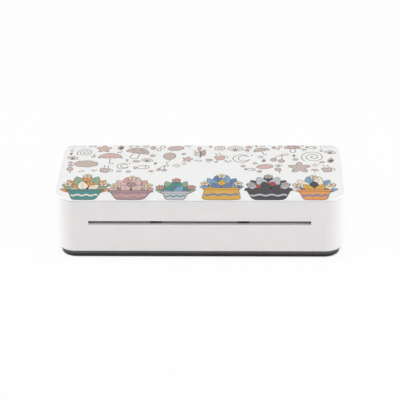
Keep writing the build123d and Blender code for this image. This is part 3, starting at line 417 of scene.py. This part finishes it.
inkSet = {"layer": 0.009, "sink": 0.01, "line": 0.86, "fine": 0.5, "vein": 0.3, "step": 0.8, "darker": 0.95,
          "leafPoints": 28, "ovalPoints": 44}
# how many layers high each thing lies: what is in front covers what is behind
inkLevels = {"doodle": 3, "doodleLine": 5, "backLeaf": 2, "frontLeaf": 8, "blossom": 13, "pot": 25,
             "rim": 27}
inkColours = {
    "grey_line": "#A08C84", "dark_line": "#5A4C49", "dusty_pink": "#D8B9B3", "warm_grey": "#CABAB2",
    "teal": "#4A8A88", "orange": "#E39A5C", "rose": "#D7A39C", "mauve": "#A98D92", "slate_blue": "#6480A8",
    "ochre": "#D9AA4A", "charcoal": "#3F3D42", "red": "#B4443C", "silver_grey": "#C2C4C8",
    "leaf_green": "#93AC8B", "sky_blue": "#7FA6C4", "cream": "#F3E6D3",
}
inkMeshes = {name: {"points": [], "faces": [], "count": 0} for name in inkColours}
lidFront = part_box("top_cover")[0][1] / mm
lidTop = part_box("top_cover")[1][2] / mm
hingeY, hingeZ = [joint["pos_m"] for joint in frame["joints"] if joint["name"] == "lid_hinge"][0][1:]
# the lid's top rounds down past two lines: just behind its front, on the moulded edge's radius, and at the
# rear over the hinge's axis, about which it is rolled
lidEdges = {
    "front": {"start": lidFront + 0.871, "radius": 0.8, "way": -1},
    "rear": {"start": hingeY / mm, "radius": lidTop - hingeZ / mm, "way": 1},
}
slabRings = (0.002, 1.0)  # a flat slab is one fan from near its centre to its outline


def addInk(colour, grid, loops):
    # grid: (profile, path, 3) points in metres; the profile closes on itself, and an open path gets two caps
    rows, columns = grid.shape[:2]
    i, j = np.meshgrid(np.arange(rows), np.arange(columns if loops else columns - 1), indexing="ij")
    nextI, nextJ = (i + 1) % rows, (j + 1) % columns
    corners = [nextI * columns + j, nextI * columns + nextJ, i * columns + nextJ, i * columns + j]
    quads = np.stack(corners, axis=-1).reshape(-1, 4)
    if not loops:
        cap = np.arange(rows) * columns
        quads = np.vstack([quads, cap[::-1], cap + columns - 1])
    store = inkMeshes[colour]
    store["faces"].append(quads + store["count"])
    store["points"].append(grid.reshape(-1, 3))
    store["count"] += rows * columns


def raised(flat, level=None):
    # flat points put on the lid: h above its top, or sunk a little where no level is given
    # past an edge's line y0 they go round with it by a = |y - y0| / R:
    # y = y0 -+ (R + h) sin a, z = top - R + (R + h) cos a
    rise = -inkSet["sink"] if level is None else inkSet["layer"] * level
    y = flat[:, 1].copy()
    z = np.full(len(flat), lidTop + rise)
    for edge in lidEdges.values():
        past = np.maximum(edge["way"] * (flat[:, 1] - edge["start"]), 0)
        reach = edge["radius"] + rise
        y = np.where(past > 0, edge["start"] + edge["way"] * reach * np.sin(past / edge["radius"]), y)
        z -= reach * (1 - np.cos(past / edge["radius"]))
    return np.column_stack([flat[:, 0], y, z]) * mm


def inkFill(colour, outline, level, rings=slabRings):
    # slab: P(t, s) runs from near the centre out to the outline on top, down its side and back in below
    middle = outline.mean(axis=0)
    area = np.sum(outline[:, 0] * np.roll(outline[:, 1], -1) - np.roll(outline[:, 0], -1) * outline[:, 1])
    if area < 0:
        outline = outline[::-1]
    flats = [middle + (outline - middle) * share for share in rings]
    grid = np.stack([raised(flat, level) for flat in flats] + [raised(flat) for flat in reversed(flats)])
    addInk(colour, grid, True)


def inkStrip(colour, left, right, level, closed=False):
    # strip between two rows of points, left and right of its way: up the left side, over and down the right
    grid = np.stack([raised(left), raised(left, level), raised(right, level), raised(right)])
    addInk(colour, grid, closed)


def inkLine(colour, path, width, level, closed=False):
    # strip half a width each way from the path, along its normal
    if closed:
        ahead = np.roll(path, -1, axis=0) - np.roll(path, 1, axis=0)
    else:
        ahead = np.gradient(path, axis=0)
    ahead /= np.maximum(np.linalg.norm(ahead, axis=1, keepdims=True), 1e-9)
    side = np.column_stack([-ahead[:, 1], ahead[:, 0]]) * width / 2
    inkStrip(colour, path + side, path - side, level, closed)


def outlined(colour, shape, level, rings=slabRings):
    # a filled shape with a dark line round it, one layer higher
    inkFill(colour, shape, level, rings)
    inkLine("dark_line", shape, inkSet["fine"], level + 1, True)


def loop(count):
    # evenly spaced angles, once round
    return np.linspace(0, fullTurn, count, endpoint=False)


def arc(wide, tall, start, end, count, at=(0, 0)):
    # at + (w cos a, h sin a)
    a = np.linspace(start, end, count)
    return np.column_stack([at[0] + wide * np.cos(a), at[1] + tall * np.sin(a)])


def placed(shape, at, size=1.0, angle=0.0):
    # turn, scale and shift a flat shape
    c, s = math.cos(angle), math.sin(angle)
    shape = np.asarray(shape, float) * size
    turned = np.column_stack([shape[:, 0] * c - shape[:, 1] * s, shape[:, 0] * s + shape[:, 1] * c])
    return turned + np.asarray(at)


def leafShape(length, width, point=1.5):
    # along = L (1 - cos t)/2, across = w/2 sin t |sin t|^(point - 1)
    t = loop(inkSet["leafPoints"])
    across = width / 2 * np.sign(np.sin(t)) * np.abs(np.sin(t)) ** point
    return np.column_stack([length * (1 - np.cos(t)) / 2, across])


def ovalShape(width, height, power=1.0):
    # |cos t|^p, |sin t|^p: an oval at power 1, squarer below it
    t = loop(inkSet["ovalPoints"])
    x = width / 2 * np.sign(np.cos(t)) * np.abs(np.cos(t)) ** power
    y = height / 2 * np.sign(np.sin(t)) * np.abs(np.sin(t)) ** power
    return np.column_stack([x, y])


def potShape(top, bottom, height, power=0.22):
    # a squared oval whose width runs from the bottom's to the top's, standing on y = 0
    shape = ovalShape(1, height, power)
    shape[:, 1] += height / 2
    shape[:, 0] *= bottom + (top - bottom) * shape[:, 1] / height
    return shape


# six planted pots along the front edge: the feet go round it, so their slabs have more rings there

potRow = [
    {"x": -110, "pot": "teal", "band": "cream", "top": 33, "bottom": 23, "height": 18,
     "leaf": (36, 13), "back": ["orange", "leaf_green"], "front": ["orange", "cream"],
     "count": 9, "spread": 2.6, "blossom": "cream"},
    {"x": -66, "pot": "mauve", "band": "rose", "top": 40, "bottom": 27, "height": 16,
     "leaf": (34, 14), "back": ["rose", "dusty_pink"], "front": ["mauve", "dusty_pink"],
     "count": 8, "spread": 2.3, "blossom": "cream"},
    {"x": -23, "pot": "silver_grey", "band": "teal", "top": 25, "bottom": 18, "height": 14,
     "leaf": (31, 11), "back": ["leaf_green", "teal"], "front": ["teal", "sky_blue"],
     "count": 7, "spread": 2.2, "blossom": "rose"},
    {"x": 21, "pot": "ochre", "band": "slate_blue", "top": 32, "bottom": 37, "height": 21,
     "leaf": (33, 12), "back": ["slate_blue", "sky_blue"], "front": ["ochre", "slate_blue"],
     "count": 8, "spread": 2.3, "blossom": "cream"},
    {"x": 66, "pot": "charcoal", "band": "silver_grey", "top": 43, "bottom": 31, "height": 19,
     "leaf": (34, 13), "back": ["charcoal", "silver_grey"], "front": ["red", "charcoal"],
     "count": 9, "spread": 2.5, "blossom": "silver_grey"},
    {"x": 110, "pot": "orange", "band": "slate_blue", "top": 31, "bottom": 22, "height": 18,
     "leaf": (34, 12), "back": ["sky_blue", "cream"], "front": ["charcoal", "ochre"],
     "count": 8, "spread": 2.5, "blossom": "cream"},
]
# the foot is measured round the lid's edge, and the mouth and the rim's foot down from the pot's top
potLook = {"foot": -57.3, "rings": (0.002, 0.80, 0.85, 0.89, 0.92, 0.95, 0.975, 1.0), "mouth": 5.0,
           "rim": 2.6, "rimWider": 3, "rimHeight": 3.6, "rimPower": 0.3}
# low and height are shares of the pot's height
bandLook = {"narrower": 2.4, "low": 0.34, "height": 0.16, "swing": 1.1, "waves": 3, "points": 36}
leafLook = {"outerShorter": 0.30, "vein": (0.12, 0.45, 0.82), "veinBow": 0.03}
# the front leaves: how many fewer, and their shares of the back ones' spread, length and width
frontLook = {"fewer": 3, "spread": 0.86, "length": 0.66, "width": 0.85}
# sizes are shares of the radius, and places are (angle, share of the leaf's length) about the pot's mouth
blossomLook = {"radius": 3.6, "petals": 5, "petal": 1.15, "ring": 0.62, "turn": 0.3, "eye": 0.75,
               "places": ((0.75, 0.66), (1.57, 0.9), (2.4, 0.66))}


def along(at, reach, angle):
    # the point at that reach and angle from another
    return (at[0] + reach * math.cos(angle), at[1] + reach * math.sin(angle))


def leafFan(colours, at, count, spread, length, width, level):
    # leaves turned evenly through the spread about straight up, the outer ones shorter
    # every other leaf lies two layers higher, and the veins lie over them all
    first, bend, last = leafLook["vein"]
    vein = [(length * first, 0), (length * bend, width * leafLook["veinBow"]), (length * last, 0)]
    for k in range(count):
        share = k / (count - 1) - 0.5
        angle = math.pi / 2 + share * spread
        size = 1 - leafLook["outerShorter"] * abs(share) * 2
        leaf = placed(leafShape(length, width), at, size, angle)
        outlined(colours[k % len(colours)], leaf, level + 2 * (k % 2))
        inkLine("dark_line", placed(vein, at, size, angle), inkSet["vein"], level + 4)


def blossom(colour, at, level):
    # round petals one over the next, about a small eye
    radius, petals = blossomLook["radius"], blossomLook["petals"]
    petal = ovalShape(radius * blossomLook["petal"], radius * blossomLook["petal"])
    for k in range(petals):
        spot = along(at, radius * blossomLook["ring"], fullTurn * k / petals + blossomLook["turn"])
        outlined(colour, placed(petal, spot), level + 2 * k)
    eye = ovalShape(radius * blossomLook["eye"], radius * blossomLook["eye"])
    outlined("ochre", placed(eye, at), level + 2 * petals)


def waveBand(colour, at, width, potHeight):
    # strip between two equal waves: y = low + swing sin(k x), and that plus the strip's height
    x = np.linspace(-width / 2, width / 2, bandLook["points"])
    y = potHeight * bandLook["low"] + bandLook["swing"] * np.sin(x / width * fullTurn * bandLook["waves"])
    lower = placed(np.column_stack([x, y]), at)
    upper = placed(np.column_stack([x, y + potHeight * bandLook["height"]]), at)
    inkStrip(colour, upper, lower, inkLevels["rim"])


def printPots():
    for pot in potRow:
        foot = (pot["x"], potLook["foot"])
        top = potLook["foot"] + pot["height"]
        mouth = (pot["x"], top - potLook["mouth"])
        length, width = pot["leaf"]
        leafFan(pot["back"], mouth, pot["count"], pot["spread"], length, width, inkLevels["backLeaf"])
        leafFan(pot["front"], mouth, pot["count"] - frontLook["fewer"], pot["spread"] * frontLook["spread"],
                length * frontLook["length"], width * frontLook["width"], inkLevels["frontLeaf"])
        for angle, share in blossomLook["places"]:
            blossom(pot["blossom"], along(mouth, length * share, angle), inkLevels["blossom"])
        body = placed(potShape(pot["top"], pot["bottom"], pot["height"]), foot)
        outlined(pot["pot"], body, inkLevels["pot"], potLook["rings"])
        rimWidth = pot["top"] + potLook["rimWider"]
        rim = potShape(rimWidth, rimWidth, potLook["rimHeight"], potLook["rimPower"])
        outlined(pot["pot"], placed(rim, (pot["x"], top - potLook["rim"])), inkLevels["rim"])
        waveBand(pot["band"], foot, (pot["top"] + pot["bottom"]) / 2 - bandLook["narrower"], pot["height"])


# small line drawings, about 10 mm across, in millimetres of their own: each gives closed fills, closed lines
# and open lines

def starDoodle(radius=4.2, swell=0.32, arms=5):
    # r = R (1 + swell cos(arms t))
    t = loop(60)
    r = radius * (1 + swell * np.cos(arms * t))
    shape = np.column_stack([r * np.sin(t), r * np.cos(t)])
    return [shape], [shape], []


def sprigDoodle(half=6, bow=1.6, leaf=(5, 2.3), lean=0.6):
    # a bowed stem, x = b sin 2.2 s, with three pairs of leaves and one at its tip
    # every other leaf is filled
    s = np.linspace(0, 1, 18)
    stem = np.column_stack([bow * np.sin(2.2 * s), -half + 2 * half * s])
    leaves = [placed(leafShape(*leaf), foot, 1, angle)
              for foot in stem[4:13:4] for angle in (lean, math.pi - lean)]
    leaves.append(placed(leafShape(*leaf), stem[-1], 1, 1.4))
    return leaves[::2], leaves, [stem]


def cupDoodle(top=9, bottom=6, height=7, handleAt=(4.2, 4), steamAt=(-2, 1.2)):
    # a squared oval, an arc for its handle, and steam: x = x0 + 0.6 sin 2 pi s
    bowl = potShape(top, bottom, height, 0.3)
    handle = arc(2.4, 2.1, -1.25, 1.25, 16, handleAt)
    s = np.linspace(0, 1, 14)
    steam = [np.column_stack([x + 0.6 * np.sin(s * fullTurn), 8.4 + 3.4 * s]) for x in steamAt]
    return [bowl], [bowl], [handle, *steam]


def moonDoodle(radius=5, hollow=3.7, shift=1.9):
    # a wide arc and a smaller, flatter one back, with a cross beside them
    outer = arc(radius, radius, 0.35, fullTurn - 0.35, 36)
    inner = arc(hollow, hollow * 0.92, fullTurn - 0.62, 0.62, 30, (shift, 0))
    cross = [np.array([(6.5, 3), (7.5, 4)]), np.array([(7.5, 3), (6.5, 4)])]
    return [], [np.vstack([outer, inner])], cross


def cherriesDoodle(fruitSize=4.4, hang=(-3, 2.6), drop=(-3, -3.8), join=1.5):
    # a stem from each fruit bends to one joint, x = x0 + (joint - x0) s^1.4, with a leaf there
    fruit = [placed(ovalShape(fruitSize, fruitSize), at) for at in zip(hang, drop)]
    s = np.linspace(0, 1, 12)
    stems = [np.column_stack([x + (join - x) * s ** 1.4, -1 + 6.2 * s]) for x in hang]
    leaf = placed(leafShape(5, 2.4), (join, 5.2), 1, 0.35)
    return fruit, [*fruit, leaf], stems


def cloudDoodle(wide=6.4, tall=3.6, bulge=0.13):
    # an oval with seven bulges: r = 1 + bulge |sin 3.5 t|
    t = loop(72)
    r = 1 + bulge * np.abs(np.sin(3.5 * t))
    shape = np.column_stack([wide * r * np.cos(t), tall * r * np.sin(t)])
    return [shape], [shape], []


def umbrellaDoodle(half=6, tall=5.4, scallop=0.8):
    # half an oval over three scallops, and a stick that ends in a hook
    b = np.linspace(-half, half, 31)[1:-1]
    hem = np.column_stack([b, scallop * np.abs(np.sin((b + half) / (2 * half) * 3 * math.pi))])
    canopy = np.vstack([arc(half, tall, 0, math.pi, 26), hem])
    hook = np.vstack([[(0, scallop)], [(0, -4)], arc(-1.1, -1.3, 0, math.pi, 12, (1.1, -4.6))])
    return [canopy], [canopy], [hook]


def shellDoodle(radius=6, low=-2, ripple=0.05):
    # a fan with a rippled rim: r = R (1 + ripple |sin 6 a|), and five ribs from its foot
    a = np.linspace(0.25, math.pi - 0.25, 40)
    r = radius * (1 + ripple * np.abs(np.sin(6 * a)))
    rim = np.column_stack([r * np.cos(a), low + r * np.sin(a)])
    shape = np.vstack([rim, [(-1.4, -3.2), (1.4, -3.2)]])
    ribs = [np.array([(0, -2.6), along((0, low), 4.9, b)]) for b in (0.7, 1.14, 1.57, 2.0, 2.44)]
    return [], [shape], ribs


def mushroomDoodle(half=5.6, tall=5, dots=((-2.4, 3), (1, 4.2), (2.8, 2.2))):
    # half an oval with round dots, over a squared oval for its foot
    under = np.column_stack([np.linspace(-half, half, 12)[1:-1], np.full(10, 0.7)])
    cap = np.vstack([arc(half, tall, 0, math.pi, 24, (0, 1)), under])
    foot = placed(potShape(3, 4, 5.6, 0.4), (0, -5))
    return [cap], [cap, foot, *[placed(ovalShape(1.6, 1.6), at) for at in dots]], []


def spiralDoodle(radius=5, turns=2.6):
    # r = R s, a = 2 pi s turns
    s = np.linspace(0, 1, 70)
    a = s * turns * fullTurn
    return [], [], [np.column_stack([radius * s * np.cos(a), radius * s * np.sin(a)])]


def balloonDoodle(width=7, height=8.4, string=5.6):
    # an oval on a waving string: x = 0.9 sin 2 pi s
    shape = placed(ovalShape(width, height), (0, 2.6))
    s = np.linspace(0, 1, 20)
    return [shape], [shape], [np.column_stack([0.9 * np.sin(s * fullTurn), -1.6 - string * s])]


def fishDoodle(half=5, tall=2.7, fuller=0.2):
    # x = L cos s, y = w sin s (1 + fuller cos s): fuller towards the head, with a forked tail and a gill
    s = loop(36)
    body = np.column_stack([half * np.cos(s) - 0.8, tall * np.sin(s) * (1 + fuller * np.cos(s))])
    tail = np.array([(-5.4, 0), (-8, 2.4), (-7.2, 0), (-8, -2.4)])
    return [], [body, tail], [np.array([(1.6, -1.8), (1.0, 0), (1.6, 1.8)])]


def dropsDoodle(places=(((-3, -2), 1), ((1, -4), 0.8), ((3.6, 0), 0.9))):
    # three blunt leaf shapes, turned upright, the first one filled
    drops = [placed(leafShape(5, 3.2, 1.1), at, size, math.pi / 2) for at, size in places]
    return drops[:1], drops, []


doodles = [starDoodle, sprigDoodle, cupDoodle, moonDoodle, cherriesDoodle, cloudDoodle, umbrellaDoodle,
           shellDoodle, mushroomDoodle, spiralDoodle, balloonDoodle, fishDoodle, dropsDoodle]
# the field behind the pots, up to each side and round the rolled rear edge; it leaves out a bare oval in the
# middle of its front and the two rear ends, past "ear", where the hinge's ears stand
doodleField = {"side": 134.5, "front": -6.0, "rear": 55.2, "corner": 17.5, "ear": (118.3, 46.4),
               "bareAt": (8.0, -6.0), "bareHalf": (36.0, 22.0), "gap": 0.4, "seed": 11,
               "tilt": 0.3, "thinBelow": 5}
doodleSizes = [
    {"count": 9, "radius": 12.0, "tries": 400},
    {"count": 26, "radius": 8.2, "tries": 2500},
    {"count": 40, "radius": 5.8, "tries": 4000},
    {"count": 60, "radius": 3.9, "tries": 6000},
    {"count": 60, "radius": 2.9, "tries": 6000},
]


def inField(x, y, radius):
    # true for a circle within the rounded rear corners, in front of the ears and clear of the bare oval
    corner = doodleField["corner"]
    pastX, pastY = abs(x) - (doodleField["side"] - corner), y - (doodleField["rear"] - corner)
    overCorner = pastX > 0 and pastY > 0 and math.hypot(pastX, pastY) + radius > corner
    overEar = abs(x) + radius > doodleField["ear"][0] and y + radius > doodleField["ear"][1]
    (bareX, bareY), (wide, deep) = doodleField["bareAt"], doodleField["bareHalf"]
    overBare = math.hypot((x - bareX) / (wide + radius), (y - bareY) / (deep + radius)) < 1
    return not (overCorner or overEar or overBare)


def doodlePlaces(draws):
    # circles thrown one by one, large ones first: one is kept if it is in the field and clear of the others
    side, front, rear, gap = (doodleField[key] for key in ("side", "front", "rear", "gap"))
    kept = []
    for size in doodleSizes:
        radius = size["radius"]
        wanted = len(kept) + size["count"]
        low, high = (-side + radius, front + radius), (side - radius, rear - radius)
        for x, y in draws.uniform(low, high, (size["tries"], 2)):
            clear = all(math.hypot(x - a, y - b) > radius + r + gap for a, b, r in kept)
            if len(kept) < wanted and clear and inField(x, y, radius):
                kept.append((x, y, radius))
    return kept


def doodleKinds(places, draws):
    # each place takes the kind whose nearest drawing of that kind so far is furthest away
    kinds = []
    for x, y, radius in places:
        order = draws.permutation(len(doodles)).tolist()
        clear = []
        for kind in order:
            same = [math.hypot(x - a, y - b) for (a, b, r), used in zip(places, kinds) if used == kind]
            clear.append(min(same, default=math.inf))
        kinds.append(order[int(np.argmax(clear))])
    return kinds


def evenSteps(path, closed):
    # the same path with its points evenly spaced, close enough to go round the lid's rolled edge
    ring = np.vstack([path, path[:1]]) if closed else path
    run = np.append(0, np.cumsum(np.linalg.norm(np.diff(ring, axis=0), axis=1)))
    at = np.linspace(0, run[-1], 2 + int(run[-1] / inkSet["step"]))
    points = np.column_stack([np.interp(at, run, ring[:, axis]) for axis in (0, 1)])
    return points[:-1] if closed else points


def printDoodle(drawing, at, radius, tilt, tone):
    # one drawing, tilted and scaled to its circle; at the rolled edge its slabs have more rings to go round
    fills, loops, strokes = drawing
    corners = np.vstack([*loops, *strokes])
    centre = (corners.min(axis=0) + corners.max(axis=0)) / 2
    size = radius / np.linalg.norm(corners - centre, axis=1).max()
    angle = doodleField["tilt"] * tilt
    fillInk = "dusty_pink" if tone > 0 else "warm_grey"
    width = inkSet["line"] if radius > doodleField["thinBelow"] else inkSet["fine"]
    rolled = at[1] + radius > lidEdges["rear"]["start"]
    rings = np.linspace(*slabRings, 2 + int(radius / inkSet["step"]) if rolled else 2)
    for shape in fills:
        path = evenSteps(placed(shape - centre, at, size, angle), True)
        inkFill(fillInk, path, inkLevels["doodle"], rings)
    for shape in loops:
        path = evenSteps(placed(shape - centre, at, size, angle), True)
        inkLine("grey_line", path, width, inkLevels["doodleLine"], True)
    for shape in strokes:
        path = evenSteps(placed(shape - centre, at, size, angle), False)
        inkLine("grey_line", path, width, inkLevels["doodleLine"])


def printDoodles():
    # every drawing has a seeded tilt and tone, and the size of its circle
    draws = np.random.default_rng(doodleField["seed"])
    places = doodlePlaces(draws)
    for kind, (x, y, radius) in zip(doodleKinds(places, draws), places):
        tilt, tone = draws.uniform(-1, 1, 2)
        printDoodle(doodles[kind](), (x, y), radius, tilt, tone)
    print(len(places), "drawings on the lid")


def inkMaterial(name, hexColour):
    # cured ink on plastic: a thin satin film, a little glossier than the cover round it, slightly mottled
    made = newMaterial("cured_ink_" + name)
    channels = [int(int(hexColour[i:i + 2], 16) * inkSet["darker"]) for i in (1, 3, 5)]
    colour = mottled(made, "#" + "".join(f"{value:02X}" for value in channels), hexColour, 3)
    shader = addNode(made, "ShaderNodeBsdfPrincipled", {"Roughness": 0.48, "Specular IOR Level": 0.3},
                     {"Base Color": (colour, "Color")})
    return closeMaterial(made, shader)


def makePrint():
    printPots()
    printDoodles()
    for name, store in inkMeshes.items():
        mesh = bpy.data.meshes.new("print_" + name)
        mesh.from_pydata(np.vstack(store["points"]).tolist(), [], np.vstack(store["faces"]).tolist())
        mesh.materials.append(inkMaterial(name, inkColours[name]))
        piece = newObject("print_" + name, mesh)
        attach(piece, "lid")


makePrint()
print("print laid on the lid")
